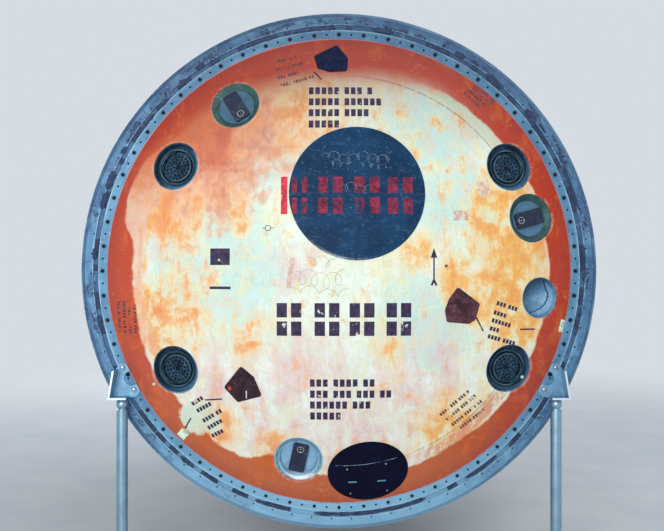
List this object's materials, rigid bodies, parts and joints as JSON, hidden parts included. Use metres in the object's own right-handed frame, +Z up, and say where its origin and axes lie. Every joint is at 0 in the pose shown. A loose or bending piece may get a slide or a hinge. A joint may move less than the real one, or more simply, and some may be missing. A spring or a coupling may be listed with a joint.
{
  "type": "space capsule on a display stand",
  "caption": "Headlight-shaped space capsule on four steel posts, its round base facing forwards, with a nose hatch that opens inwards.",
  "frame": {"origin": "floor, under the middle of the part's bounding box", "axes": "+Z up, -Y the way the capsule's base faces, +Y towards its nose, X across; the capsule's axis is 1.25 m above the floor"},
  "size_m": [2.17, 2.3524, 2.335],
  "materials": {
    "ring_metal": "dull blue-grey, scuffed",
    "dome_paint": "worn paint, cream with an orange-red edge",
    "charred_skin": "charred ablative skin",
    "plate_dark": "dark slate blue, scratched",
    "pad_brown": "dark mottled",
    "engine_metal": "dark, stained",
    "port_metal": "pale blue-grey",
    "hatch_metal": "satin",
    "cabin_green": "matt paint",
    "couch_shell": "moulded liner",
    "port_glass": "clear",
    "polished_steel": "polished"
  },
  "bodies": {
    "capsule": {"base_ring": "ring_metal", "base_dome": "dome_paint", "round_plate": "plate_dark", "oval_plate": "plate_dark", "key_pad_1": "pad_brown", "key_pad_2": "pad_brown", "key_pad_3": "pad_brown", "landing_engine_1": "engine_metal", "landing_engine_2": "engine_metal", "landing_engine_3": "engine_metal", "landing_engine_4": "engine_metal", "bar_port_1": "port_metal", "bar_port_2": "port_metal", "bar_port_3": "port_metal", "port_bar_1": "plate_dark", "port_bar_2": "plate_dark", "port_bar_3": "plate_dark", "open_port": "port_metal", "flank_shell": "charred_skin", "crown_shell": "charred_skin", "main_chute_cover": "charred_skin", "reserve_chute_cover": "charred_skin", "hatch_collar": "hatch_metal", "right_window_frame": "hatch_metal", "left_window_frame": "hatch_metal", "periscope_frame": "hatch_metal", "right_window_glass": "port_glass", "left_window_glass": "port_glass", "periscope_glass": "port_glass", "thruster_block_1": "engine_metal", "thruster_block_2": "engine_metal", "thruster_block_3": "engine_metal", "thruster_block_4": "engine_metal", "umbilical_plate": "port_metal", "cabin_floor": "cabin_green", "console": "cabin_green", "couch_left": "couch_shell", "couch_centre": "couch_shell", "couch_right": "couch_shell", "bracket_front_right": "polished_steel", "bracket_front_left": "polished_steel", "bracket_rear_right": "polished_steel", "bracket_rear_left": "polished_steel", "post_front_right": "polished_steel", "post_front_left": "polished_steel", "post_rear_right": "polished_steel", "post_rear_left": "polished_steel"},
    "hatch": {"hatch_lid": "hatch_metal", "hatch_wheel": "hatch_metal"}
  },
  "joints": [
    {"name": "hatch_hinge", "type": "hinge", "parent": "capsule", "child": "hatch", "pos_m": [0.375, 0.79624, 1.25], "axis": [0, 0, 1], "range_deg": [0, 95]}
  ]
}
